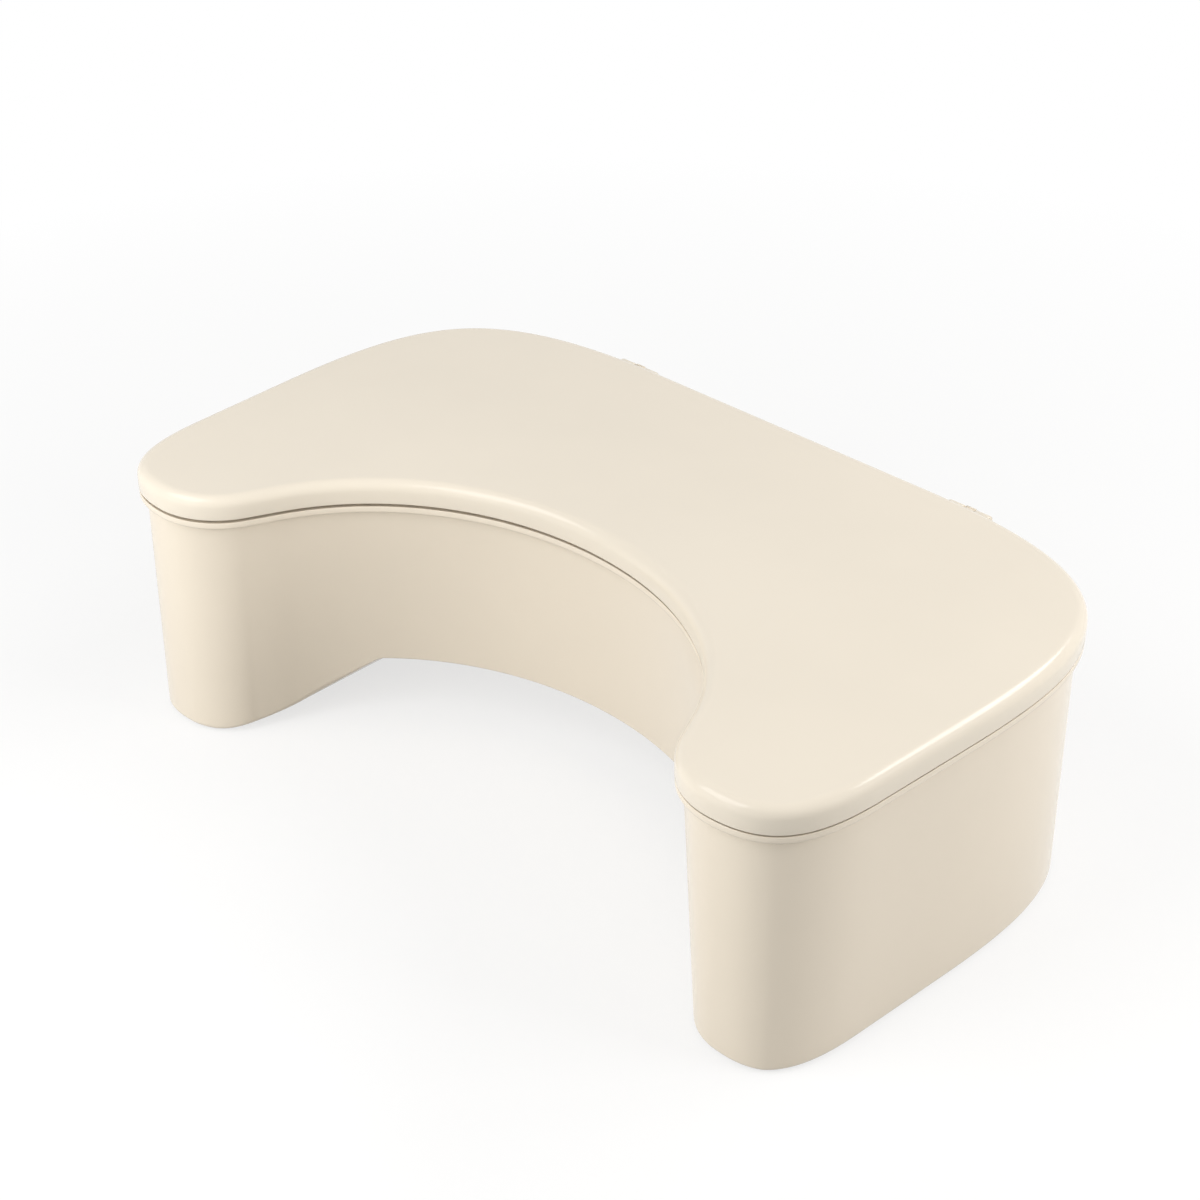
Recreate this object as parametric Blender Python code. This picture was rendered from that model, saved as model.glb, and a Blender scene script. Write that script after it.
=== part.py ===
"""Bathroom footstool: a moulded storage tub on two feet under a hinged lid.

Run it with blender --background --python part.py, or from Blender's text editor.
Lengths are in metres, +Z is up and the feet point towards -Y. The origin lies on the
floor below the middle of the stool's box.
"""
import math

import bmesh
import bpy
from mathutils import Matrix, Vector

MM = 0.001

# Overall sizes. The lid's width is taken where its straight sides start: the back corners
# swell about half a millimetre past it on each side.
LID_WIDTH = 450.0 * MM
LID_DEPTH = 260.0 * MM
STOOL_HEIGHT = 142.0 * MM

# Outline of the lid: round back corners, slightly toed-in sides, feet and the notch
BACK_CORNER_WIDTH = 138.0 * MM
BACK_CORNER_DEPTH = 145.0 * MM
SIDE_TOE_IN = math.radians(2.5)
FOOT_CORNER_WIDTH = 47.0 * MM
FOOT_CORNER_DEPTH = 57.0 * MM
FOOT_INNER_RADIUS = 40.0 * MM
FLANK_ANGLE = math.radians(65.0)
FLANK_LENGTH = 18.0 * MM
NOTCH_DEPTH = 116.0 * MM

# How far each curve's handles reach, as shares of the curve's spans
BACK_CORNER_shares = (0.90, 0.70)
FOOT_OUTER_shares = (0.69, 0.70)
NOTCH_shares = (0.39, 0.44)

# The notch's walls lean back more than the others, so the notch widens towards the floor.
# The lean sets in on the last part of each foot's outer corner, and this share of it is
# reached at the foot's tip.
LEAN_START_share = 0.4

# Number of straight steps along each stretch of the half outline
BACK_STEPS = 3
BACK_CORNER_STEPS = 16
SIDE_STEPS = 2
FOOT_OUTER_STEPS = 10
FOOT_INNER_STEPS = 7
FLANK_STEPS = 1
NOTCH_STEPS = 14
FILLET_STEPS = 4
FLANGE_STEPS = 3
ROUND_STEPS = 28

# Lid
LID_HEIGHT = 12.0 * MM
LID_PLATE = 2.8 * MM
LID_SKIRT = 2.5 * MM
LID_EDGE_RADIUS = 5.6 * MM
LID_INNER_RADIUS = 2.0 * MM
RIB_THICKNESS = 1.8 * MM
RIB_DEPTH = 5.0 * MM
RIB_RING_DEPTH = 5.6 * MM
RIB_PITCH = 44.0 * MM
RIB_LIP_CLEARANCE = 1.9 * MM

# Tub
SEAM_GAP = 0.9 * MM
REST_GAP = 0.3 * MM
FLANGE_INSET = 0.2 * MM
FLANGE_THICKNESS = 3.2 * MM
FLANGE_UPPER_RADIUS = 0.8 * MM
FLANGE_LOWER_RADIUS = 1.6 * MM
FLANGE_COVE_RADIUS = 1.6 * MM
WALL_INSET = 3.8 * MM
WALL_DRAFT = math.radians(0.2)
NOTCH_DRAFT = math.radians(3.8)
WALL = 2.5 * MM
FLOOR = 3.0 * MM
LIP_INSET = 4.8 * MM
LIP_THICKNESS = 1.8 * MM
BASE_EDGE_RADIUS = 2.4 * MM
INNER_EDGE_RADIUS = 4.0 * MM

# Raised underside between the feet
FOOT_BASE_WIDTH = 70.8 * MM
BRIDGE_HEIGHT = 33.0 * MM
BRIDGE_SLOPE = math.radians(41.5)
BRIDGE_TOP_RADIUS = 5.0 * MM
BRIDGE_FOOT_RADIUS = 36.0 * MM
BRIDGE_TOP_STEPS = 4
BRIDGE_FOOT_STEPS = 6

# Hinges
HINGE_PAST_BACK_FLAT = 22.0 * MM
HINGE_LENGTH = 24.5 * MM
HINGE_AXIS_BACK = 3.6 * MM
HINGE_AXIS_DROP = 8.2 * MM
KNUCKLE_RADIUS = 3.2 * MM
KNUCKLE_GAP = 0.6 * MM
LUG_WIDTH = 5.6 * MM
LUG_RADIUS = 2.7 * MM
LUG_SKIRT_CLEARANCE = 0.8 * MM
LUG_FLANGE_STEP = 0.4 * MM
GUSSET_DROP = 15.0 * MM
STOP_ANGLE = math.radians(108.0)
STOP_GAP = 0.3 * MM
STOP_FLAT_LENGTH = 1.4 * MM
STOP_NOSE_STEP = 0.4 * MM
PIN_RADIUS = 1.25 * MM
PIN_CLEARANCE = 0.3 * MM
PIN_RECESS = 0.5 * MM
PIN_CHAMFER = 0.3 * MM

# Anti-slip pads
PAD_RADIUS = 9.0 * MM
PAD_PROUD = 1.0 * MM
PAD_RECESS = 1.5 * MM
PAD_CLEARANCE = 0.3 * MM
PAD_EDGE_RADIUS = 0.5 * MM
PAD_BACK_FROM_EDGE = 60.0 * MM
PAD_BACK_FROM_SIDE = 35.0 * MM
PAD_FRONT_FROM_TIP = 33.0 * MM
PAD_FRONT_FROM_SIDE = 33.0 * MM

# How far a cutter runs past the surface that it cuts
OVERRUN = 2.0 * MM
# How deep a joined piece is sunk into the piece it grows from
WELD = 0.8 * MM

# Levels and places that follow from the sizes above
LID_TOP = STOOL_HEIGHT
LID_SKIRT_BOTTOM = LID_TOP - LID_HEIGHT
LID_UNDERSIDE = LID_TOP - LID_PLATE
FLANGE_TOP = LID_SKIRT_BOTTOM - SEAM_GAP
FLANGE_BOTTOM = FLANGE_TOP - FLANGE_THICKNESS
LIP_TOP = LID_UNDERSIDE - REST_GAP
TUB_BASE = PAD_PROUD
TUB_FLOOR = TUB_BASE + FLOOR
NOTCH_LEAN = math.tan(NOTCH_DRAFT) - math.tan(WALL_DRAFT)
RIB_RING_INSET = LIP_INSET + LIP_THICKNESS + RIB_LIP_CLEARANCE
BRIDGE_TOP_X = LID_WIDTH / 2 - FOOT_BASE_WIDTH - BRIDGE_HEIGHT / math.tan(BRIDGE_SLOPE)
HINGE_X = LID_WIDTH / 2 - BACK_CORNER_WIDTH + HINGE_PAST_BACK_FLAT
HINGE_AXIS_Z = LID_TOP - HINGE_AXIS_DROP
HINGE_REACH = HINGE_AXIS_BACK + KNUCKLE_RADIUS
BACK_EDGE_Y = (LID_DEPTH - HINGE_REACH) / 2
HINGE_AXIS_Y = BACK_EDGE_Y + HINGE_AXIS_BACK
KNUCKLE_LENGTH = (HINGE_LENGTH - LUG_WIDTH) / 2 - KNUCKLE_GAP


def clear_scene():
    """Removes every object that the file holds already."""
    for old in list(bpy.data.objects):
        bpy.data.objects.remove(old, do_unlink=True)


def plastic(name, colour, roughness, metallic=0.0):
    """A plain Principled BSDF material."""
    material = bpy.data.materials.new(name)
    material.use_nodes = True
    shader = material.node_tree.nodes["Principled BSDF"]
    shader.inputs["Base Color"].default_value = (*colour, 1.0)
    shader.inputs["Roughness"].default_value = roughness
    shader.inputs["Metallic"].default_value = metallic
    return material


def bezier(start, start_handle, end_handle, end, steps):
    """Points and directions along one cubic curve, without its last point."""
    found = []
    for step in range(steps):
        t = step / steps
        s = 1 - t
        point = []
        direction = []
        for a, b, c, d in zip(start, start_handle, end_handle, end):
            point.append(s ** 3 * a + 3 * s * s * t * b + 3 * s * t * t * c + t ** 3 * d)
            direction.append(s * s * (b - a) + 2 * s * t * (c - b) + t * t * (d - c))
        found.append((point, direction))
    return found


def straight(start, end, steps):
    """Points and directions along one straight run, without its last point."""
    direction = (end[0] - start[0], end[1] - start[1])
    return [
        ((start[0] + direction[0] * i / steps, start[1] + direction[1] * i / steps), direction)
        for i in range(steps)
    ]


def half_outline():
    """Points of the lid's right half, from the middle of the straight back edge round the
    side and the foot to the middle of the notch. Each has its outward normal and its
    share of the notch's lean."""
    back = BACK_EDGE_Y
    front = BACK_EDGE_Y - LID_DEPTH
    side_x = LID_WIDTH / 2
    corner_start = (side_x - BACK_CORNER_WIDTH, back)
    corner_end = (side_x, back - BACK_CORNER_DEPTH)
    down = (-math.sin(SIDE_TOE_IN), -math.cos(SIDE_TOE_IN))
    corner_pull = BACK_CORNER_DEPTH * BACK_CORNER_shares[1]
    run = straight((0.0, back), corner_start, BACK_STEPS)
    run += bezier(
        corner_start,
        (corner_start[0] + BACK_CORNER_WIDTH * BACK_CORNER_shares[0], back),
        (corner_end[0] - down[0] * corner_pull, corner_end[1] - down[1] * corner_pull),
        corner_end,
        BACK_CORNER_STEPS,
    )
    side_end_y = front + FOOT_CORNER_DEPTH
    side_end = (side_x - (corner_end[1] - side_end_y) * math.tan(SIDE_TOE_IN), side_end_y)
    run += straight(corner_end, side_end, SIDE_STEPS)

    tip = (side_x - FOOT_CORNER_WIDTH, front)
    leans = [0.0] * len(run)
    outer_pull = FOOT_CORNER_DEPTH * FOOT_OUTER_shares[0]
    run += bezier(
        side_end,
        (side_end[0] + down[0] * outer_pull, side_end[1] + down[1] * outer_pull),
        (tip[0] + (side_end[0] - tip[0]) * FOOT_OUTER_shares[1], front),
        tip,
        FOOT_OUTER_STEPS,
    )
    leans += [max(0.0, i / FOOT_OUTER_STEPS - 1 + LEAN_START_share) for i in range(FOOT_OUTER_STEPS)]
    for step in range(FOOT_INNER_STEPS):
        turn = FLANK_ANGLE * step / FOOT_INNER_STEPS
        point = (
            tip[0] - FOOT_INNER_RADIUS * math.sin(turn),
            tip[1] + FOOT_INNER_RADIUS * (1 - math.cos(turn)),
        )
        run.append((point, (-math.cos(turn), math.sin(turn))))
    up = (-math.cos(FLANK_ANGLE), math.sin(FLANK_ANGLE))
    flank_start = (
        tip[0] - FOOT_INNER_RADIUS * math.sin(FLANK_ANGLE),
        tip[1] + FOOT_INNER_RADIUS * (1 - math.cos(FLANK_ANGLE)),
    )
    flank_end = (flank_start[0] + up[0] * FLANK_LENGTH, flank_start[1] + up[1] * FLANK_LENGTH)
    run += straight(flank_start, flank_end, FLANK_STEPS)
    middle = (0.0, front + NOTCH_DEPTH)
    notch_pull = flank_end[0] * NOTCH_shares[0]
    run += bezier(
        flank_end,
        (flank_end[0] + up[0] * notch_pull, flank_end[1] + up[1] * notch_pull),
        (flank_end[0] * NOTCH_shares[1], middle[1]),
        middle,
        NOTCH_STEPS,
    )
    run.append((middle, (-1.0, 0.0)))
    gain = (1 - LEAN_START_share) / FOOT_INNER_STEPS
    leans += [min(1.0, LEAN_START_share + gain * i) for i in range(len(run) - len(leans))]

    found = []
    for (point, direction), lean in zip(run, leans):
        length = math.hypot(*direction)
        found.append((point, (-direction[1] / length, direction[0] / length), lean))
    return found


def full_outline():
    """The closed outline, clockwise seen from above, as points, normals and lean shares."""
    half = half_outline()
    mirrored = [((-p[0], p[1]), (-n[0], n[1]), lean) for p, n, lean in half[1:-1]]
    return half + mirrored[::-1]


OUTLINE = full_outline()


def ring(inset, height):
    """The outline drawn in by inset at one height, and by the notch's lean below the flange."""
    lean_reach = NOTCH_LEAN * max(0.0, FLANGE_BOTTOM - height)
    found = []
    for point, normal, lean in OUTLINE:
        reach = inset + lean * lean_reach
        found.append((point[0] - normal[0] * reach, point[1] - normal[1] * reach, height))
    return found


def wall_inset(height):
    """How far the tub's outer wall lies inside the lid's edge at one height, lean left out."""
    return WALL_INSET + math.tan(WALL_DRAFT) * (FLANGE_BOTTOM - height)


def new_object(name, shape):
    """Makes an object of a bmesh, with its faces pointing out, and links it to the scene."""
    bmesh.ops.recalc_face_normals(shape, faces=shape.faces)
    mesh = bpy.data.meshes.new(name)
    shape.to_mesh(mesh)
    shape.free()
    made = bpy.data.objects.new(name, mesh)
    bpy.context.scene.collection.objects.link(made)
    return made


def skin(name, rings):
    """A closed body through a row of rings with equal point counts, capped at both ends."""
    shape = bmesh.new()
    rows = [[shape.verts.new(point) for point in points] for points in rings]
    for lower, upper in zip(rows, rows[1:]):
        for i, corner in enumerate(lower):
            j = (i + 1) % len(lower)
            shape.faces.new((corner, lower[j], upper[j], upper[i]))
    shape.faces.new(rows[0][::-1])
    shape.faces.new(rows[-1])
    return new_object(name, shape)


def loft(name, profile):
    """A closed body whose rings follow the outline. The profile lists (inset, height)."""
    return skin(name, [ring(inset, height) for inset, height in profile])


def fillet(centre_inset, centre_height, radius, start, end, steps=FILLET_STEPS):
    """Profile points on an arc. Angles run from the outward direction towards the top."""
    return [
        (
            centre_inset - radius * math.cos(start + (end - start) * i / steps),
            centre_height + radius * math.sin(start + (end - start) * i / steps),
        )
        for i in range(steps + 1)
    ]


def prism_along_x(name, outline, x_middle, width):
    """An outline in (y, z) drawn out along X, centred on x_middle."""
    shape = bmesh.new()
    start = x_middle - width / 2
    face = shape.faces.new([shape.verts.new((start, y, z)) for y, z in outline])
    grown = bmesh.ops.extrude_face_region(shape, geom=[face])
    moved = [item for item in grown["geom"] if isinstance(item, bmesh.types.BMVert)]
    bmesh.ops.translate(shape, verts=moved, vec=(width, 0.0, 0.0))
    return new_object(name, shape)


def prism_along_y(name, outline, y_start, y_end):
    """An outline in (x, z) drawn out along Y."""
    shape = bmesh.new()
    face = shape.faces.new([shape.verts.new((x, y_start, z)) for x, z in outline])
    grown = bmesh.ops.extrude_face_region(shape, geom=[face])
    moved = [item for item in grown["geom"] if isinstance(item, bmesh.types.BMVert)]
    bmesh.ops.translate(shape, verts=moved, vec=(0.0, y_end - y_start, 0.0))
    return new_object(name, shape)


def circle(centre, radius, start=0.0, end=2 * math.pi, steps=ROUND_STEPS):
    """Points on an arc in a plane, both ends included when it isn't a full turn."""
    full = end - start >= 2 * math.pi
    return [
        (
            centre[0] + radius * math.cos(start + (end - start) * i / steps),
            centre[1] + radius * math.sin(start + (end - start) * i / steps),
        )
        for i in range(steps if full else steps + 1)
    ]


def turned(name, profile, centre):
    """A solid turned round a vertical axis. The profile lists (radius, height)."""
    return skin(
        name,
        [[(x, y, height) for x, y in circle(centre, radius)] for radius, height in profile],
    )


def combine(target, tool, operation):
    """Applies one exact Boolean to the target and removes the tool."""
    modifier = target.modifiers.new(operation.title(), "BOOLEAN")
    modifier.operation = operation
    modifier.solver = "EXACT"
    modifier.object = tool
    bpy.context.view_layer.update()
    graph = bpy.context.evaluated_depsgraph_get()
    result = bpy.data.meshes.new_from_object(target.evaluated_get(graph))
    target.modifiers.clear()
    target.data = result
    bpy.data.objects.remove(tool, do_unlink=True)


def finish_surface(target, material):
    """Shades the round faces smooth and gives the body its one material."""
    target.data.materials.clear()
    target.data.materials.append(material)
    target.data.shade_smooth()
    target.data.set_sharp_from_angle(angle=math.radians(30.0))


def bridge_outline(grow=0.0, bottom=0.0):
    """The raised underside's section in (x, z), grown outwards by one thickness.

    The slopes run out into the feet on a wide curve. Its last step is drawn on as a
    straight line, so that it crosses the feet's flat floor and doesn't end on it.
    """
    half_turn = math.tan(BRIDGE_SLOPE / 2)
    upright = math.pi / 2
    top_centre = (
        BRIDGE_TOP_X - BRIDGE_TOP_RADIUS * half_turn,
        TUB_BASE + BRIDGE_HEIGHT - BRIDGE_TOP_RADIUS,
    )
    slope_foot_x = BRIDGE_TOP_X + BRIDGE_HEIGHT / math.tan(BRIDGE_SLOPE)
    foot_centre = (slope_foot_x + BRIDGE_FOOT_RADIUS * half_turn, TUB_BASE + BRIDGE_FOOT_RADIUS)
    top_curve = circle(
        top_centre, BRIDGE_TOP_RADIUS + grow, upright - BRIDGE_SLOPE, upright, BRIDGE_TOP_STEPS
    )
    foot_curve = circle(
        foot_centre, BRIDGE_FOOT_RADIUS - grow, -upright - BRIDGE_SLOPE, -upright, BRIDGE_FOOT_STEPS
    )[::-1]
    last, before = foot_curve[:2]
    foot_end = (2 * last[0] - before[0], 2 * last[1] - before[1])
    right = [(foot_end[0], bottom), foot_end] + foot_curve[1:] + top_curve
    return right + [(-x, z) for x, z in right[::-1]]


def hinge_places():
    """The middle of each hinge along X, with its side's name."""
    return (("left", -HINGE_X), ("right", HINGE_X))


def knuckle_places(hinge_x):
    """The middles along X of one hinge's two lid knuckles."""
    reach = (HINGE_LENGTH - KNUCKLE_LENGTH) / 2
    return (hinge_x - reach, hinge_x + reach)


def lug_outline():
    """Section in (y, z) of the tub's hinge lug: gusset, stem, stop flat and round nose."""
    stem_back = HINGE_AXIS_Y + LUG_RADIUS
    stem_front = BACK_EDGE_Y + LUG_SKIRT_CLEARANCE
    gusset_z = FLANGE_BOTTOM - GUSSET_DROP
    wall_y = BACK_EDGE_Y - wall_inset(gusset_z) - WALL / 2
    reach = HINGE_AXIS_BACK - STOP_GAP
    slope = math.tan(STOP_ANGLE - math.pi / 2)
    stop_back_z = HINGE_AXIS_Z + reach / math.sin(STOP_ANGLE) - LUG_RADIUS * slope
    stop_front_y = stem_back - STOP_FLAT_LENGTH
    stop_front_z = stop_back_z + STOP_FLAT_LENGTH * slope
    nose_start = math.acos((stop_front_y - HINGE_AXIS_Y - STOP_NOSE_STEP) / LUG_RADIUS)
    nose_drop = HINGE_AXIS_BACK - LUG_SKIRT_CLEARANCE - LUG_RADIUS
    nose_end = math.pi - math.asin(nose_drop / LUG_RADIUS)
    nose = circle((HINGE_AXIS_Y, HINGE_AXIS_Z), LUG_RADIUS, nose_start, nose_end, FILLET_STEPS * 2)
    return [
        (wall_y, gusset_z),
        (stem_back, FLANGE_BOTTOM - WELD),
        (stem_back, stop_back_z),
        (stop_front_y, stop_front_z),
        *nose,
        (stem_front, FLANGE_TOP - LUG_FLANGE_STEP),
        (wall_y, FLANGE_TOP - LUG_FLANGE_STEP),
    ]


def knuckle_outline():
    """Section in (y, z) of a lid knuckle: a half round on a web that grows from the skirt."""
    quarter = math.pi / 2
    centre = (HINGE_AXIS_Y, HINGE_AXIS_Z)
    root = BACK_EDGE_Y - LID_SKIRT + WELD
    nose = circle(centre, KNUCKLE_RADIUS, -quarter, quarter, ROUND_STEPS // 2)
    return nose + [(root, HINGE_AXIS_Z + KNUCKLE_RADIUS), (root, HINGE_AXIS_Z - KNUCKLE_RADIUS)]


def bore_cutter(name, hinge_x):
    """The cutter of one hinge's pin hole, a little longer than the hinge."""
    outline = circle((HINGE_AXIS_Y, HINGE_AXIS_Z), PIN_RADIUS + PIN_CLEARANCE)
    return prism_along_x(name, outline, hinge_x, HINGE_LENGTH + 2 * OVERRUN)


def pad_places():
    """Name and centre of each anti-slip pad."""
    back_y = BACK_EDGE_Y - PAD_BACK_FROM_EDGE
    front_y = BACK_EDGE_Y - LID_DEPTH + PAD_FRONT_FROM_TIP
    back_x = LID_WIDTH / 2 - PAD_BACK_FROM_SIDE
    front_x = LID_WIDTH / 2 - PAD_FRONT_FROM_SIDE
    return (
        ("anti_slip_pad_back_left", (-back_x, back_y)),
        ("anti_slip_pad_back_right", (back_x, back_y)),
        ("anti_slip_pad_front_left", (-front_x, front_y)),
        ("anti_slip_pad_front_right", (front_x, front_y)),
    )


def tub_profile():
    """The tub's section: base edge, drafted wall, flange, locating lip and inner wall."""
    quarter = math.pi / 2
    base_inset = wall_inset(TUB_BASE + BASE_EDGE_RADIUS) + BASE_EDGE_RADIUS
    base = fillet(base_inset, TUB_BASE + BASE_EDGE_RADIUS, BASE_EDGE_RADIUS, -quarter, 0.0)
    cove = fillet(
        WALL_INSET - FLANGE_COVE_RADIUS,
        FLANGE_BOTTOM - FLANGE_COVE_RADIUS,
        FLANGE_COVE_RADIUS,
        2 * quarter,
        quarter,
        FLANGE_STEPS,
    )
    lower_edge = fillet(
        FLANGE_INSET + FLANGE_LOWER_RADIUS,
        FLANGE_BOTTOM + FLANGE_LOWER_RADIUS,
        FLANGE_LOWER_RADIUS,
        -quarter,
        0.0,
        FLANGE_STEPS,
    )
    upper_edge = fillet(
        FLANGE_INSET + FLANGE_UPPER_RADIUS,
        FLANGE_TOP - FLANGE_UPPER_RADIUS,
        FLANGE_UPPER_RADIUS,
        0.0,
        quarter,
        FLANGE_STEPS,
    )
    inner_top = LIP_INSET + LIP_THICKNESS
    inner_base = wall_inset(TUB_FLOOR + INNER_EDGE_RADIUS) + WALL
    inner = fillet(
        inner_base + INNER_EDGE_RADIUS,
        TUB_FLOOR + INNER_EDGE_RADIUS,
        INNER_EDGE_RADIUS,
        0.0,
        -quarter,
    )
    return (
        base
        + cove
        + lower_edge
        + upper_edge
        + [
            (LIP_INSET, FLANGE_TOP),
            (LIP_INSET, LIP_TOP),
            (inner_top, LIP_TOP),
            (inner_top, FLANGE_BOTTOM),
        ]
        + inner
    )


def make_tub(material):
    """The storage tub with its raised underside, hinge lugs and pad recesses."""
    tub = loft("storage_tub", tub_profile())
    y_back = BACK_EDGE_Y + OVERRUN
    y_front = BACK_EDGE_Y - LID_DEPTH - OVERRUN

    # The raised floor is the part of the tub's own inside that lies within the grown bridge
    core_inset = wall_inset(TUB_BASE) + WALL / 2
    top_inset = wall_inset(TUB_BASE + BRIDGE_HEIGHT + FLOOR) + WALL / 2
    floor_block = loft(
        "raised_floor",
        [
            (core_inset, TUB_BASE + FLOOR / 2),
            (top_inset, TUB_BASE + BRIDGE_HEIGHT + FLOOR + OVERRUN),
        ],
    )
    grown = prism_along_y("bridge_outer", bridge_outline(grow=FLOOR), y_front, y_back)
    combine(floor_block, grown, "INTERSECT")
    combine(tub, floor_block, "UNION")
    tunnel = prism_along_y("bridge_inner", bridge_outline(bottom=-OVERRUN), y_front, y_back)
    combine(tub, tunnel, "DIFFERENCE")

    for side, hinge_x in hinge_places():
        lug = prism_along_x(f"lug_{side}", lug_outline(), hinge_x, LUG_WIDTH)
        combine(tub, lug, "UNION")
        combine(tub, bore_cutter(f"lug_bore_{side}", hinge_x), "DIFFERENCE")
    for name, centre in pad_places():
        recess = turned(
            f"recess_{name}",
            [
                (PAD_RADIUS + PAD_CLEARANCE, TUB_BASE - OVERRUN),
                (PAD_RADIUS + PAD_CLEARANCE, TUB_BASE + PAD_RECESS),
            ],
            centre,
        )
        combine(tub, recess, "DIFFERENCE")
    finish_surface(tub, material)
    return tub


def lid_profile():
    """The lid's section: flat top, rounded edge, skirt, lip channel and rib ring."""
    quarter = math.pi / 2
    edge = fillet(
        LID_EDGE_RADIUS, LID_TOP - LID_EDGE_RADIUS, LID_EDGE_RADIUS, quarter, 0.0, FILLET_STEPS + 2
    )
    ring_bottom = LID_UNDERSIDE - RIB_RING_DEPTH
    ring_inner = RIB_RING_INSET + RIB_THICKNESS
    inner_corner = [
        (LID_SKIRT, LID_UNDERSIDE - LID_INNER_RADIUS),
        (LID_SKIRT + LID_INNER_RADIUS, LID_UNDERSIDE),
    ]
    return (
        edge
        + [(0.0, LID_SKIRT_BOTTOM), (LID_SKIRT, LID_SKIRT_BOTTOM)]
        + inner_corner
        + [
            (RIB_RING_INSET, LID_UNDERSIDE),
            (RIB_RING_INSET, ring_bottom),
            (ring_inner, ring_bottom),
            (ring_inner, LID_UNDERSIDE),
        ]
    )


def rib_pockets():
    """The square gaps of the lid's rib grid, as one cutter of separate blocks."""
    shape = bmesh.new()
    columns = math.ceil(LID_WIDTH / RIB_PITCH)
    rows = math.ceil(LID_DEPTH / RIB_PITCH)
    half = (RIB_PITCH - RIB_THICKNESS) / 2
    low = LID_UNDERSIDE - RIB_DEPTH - OVERRUN
    high = LID_UNDERSIDE + WELD + OVERRUN
    middle_y = BACK_EDGE_Y - LID_DEPTH / 2
    for column in range(columns):
        for row in range(rows):
            x = (column - (columns - 1) / 2) * RIB_PITCH
            y = middle_y + (row - (rows - 1) / 2) * RIB_PITCH
            turns = ((-half, -half), (half, -half), (half, half), (-half, half))
            corners = [(x + across, y + along) for across, along in turns]
            bottom = [shape.verts.new((a, b, low)) for a, b in corners]
            top = [shape.verts.new((a, b, high)) for a, b in corners]
            shape.faces.new(bottom)
            shape.faces.new(top)
            for i in range(len(corners)):
                j = (i + 1) % len(corners)
                shape.faces.new((bottom[i], bottom[j], top[j], top[i]))
    return new_object("rib_pockets", shape)


def make_lid(material):
    """The lid with its rib grid and two knuckles at each hinge, its origin on their axis."""
    lid = loft("lid", lid_profile())
    rib_inset = RIB_RING_INSET + RIB_THICKNESS / 2
    ribs = loft(
        "ribs",
        [(rib_inset, LID_UNDERSIDE - RIB_DEPTH), (rib_inset, LID_UNDERSIDE + WELD)],
    )
    combine(ribs, rib_pockets(), "DIFFERENCE")
    combine(lid, ribs, "UNION")
    for side, hinge_x in hinge_places():
        for number, knuckle_x in enumerate(knuckle_places(hinge_x)):
            name = f"knuckle_{side}_{number}"
            knuckle = prism_along_x(name, knuckle_outline(), knuckle_x, KNUCKLE_LENGTH)
            combine(lid, knuckle, "UNION")
        combine(lid, bore_cutter(f"knuckle_bore_{side}", hinge_x), "DIFFERENCE")
    finish_surface(lid, material)
    hinge_axis = Vector((0.0, HINGE_AXIS_Y, HINGE_AXIS_Z))
    lid.data.transform(Matrix.Translation(-hinge_axis))
    lid.location = hinge_axis
    return lid


def make_pin(side, hinge_x, material):
    """One hinge pin with chamfered ends."""
    centre = (HINGE_AXIS_Y, HINGE_AXIS_Z)
    end = HINGE_LENGTH / 2 - PIN_RECESS
    steps = (
        (-end, PIN_RADIUS - PIN_CHAMFER),
        (-end + PIN_CHAMFER, PIN_RADIUS),
        (end - PIN_CHAMFER, PIN_RADIUS),
        (end, PIN_RADIUS - PIN_CHAMFER),
    )
    pin = skin(
        f"hinge_pin_{side}",
        [[(hinge_x + along, y, z) for y, z in circle(centre, radius)] for along, radius in steps],
    )
    finish_surface(pin, material)
    return pin


def make_pad(name, centre, material):
    """One soft pad with a rounded lower edge, in its recess under a foot."""
    quarter = math.pi / 2
    edge = [
        (
            PAD_RADIUS - PAD_EDGE_RADIUS + PAD_EDGE_RADIUS * math.sin(quarter * i / 2),
            PAD_EDGE_RADIUS - PAD_EDGE_RADIUS * math.cos(quarter * i / 2),
        )
        for i in range(3)
    ]
    pad = turned(name, edge + [(PAD_RADIUS, TUB_BASE + PAD_RECESS - REST_GAP)], centre)
    finish_surface(pad, material)
    return pad


def main():
    """Builds the whole stool."""
    clear_scene()
    ivory = (0.80, 0.735, 0.62)
    tub_plastic = plastic("tub_plastic", ivory, 0.32)
    lid_plastic = plastic("lid_plastic", ivory, 0.30)
    pin_steel = plastic("pin_steel", (0.62, 0.61, 0.60), 0.25, 1.0)
    pad_rubber = plastic("pad_rubber", (0.62, 0.60, 0.56), 0.75)
    make_tub(tub_plastic)
    make_lid(lid_plastic)
    for side, hinge_x in hinge_places():
        make_pin(side, hinge_x, pin_steel)
    for name, centre in pad_places():
        make_pad(name, centre, pad_rubber)


main()
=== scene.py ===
"""Looks of the bathroom footstool: two ivory mouldings, steel hinge pins and rubber pads.

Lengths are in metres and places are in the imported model's frame: +Z is up, the feet point
towards -Y and the origin lies on the floor. The storage tub and the lid are modelled again
here with the soft edges of the real mouldings, and stand for their plainer solids.
"""
import logging
import math
from collections.abc import Callable, Iterable, Sequence
from dataclasses import dataclass
from enum import Enum

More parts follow.
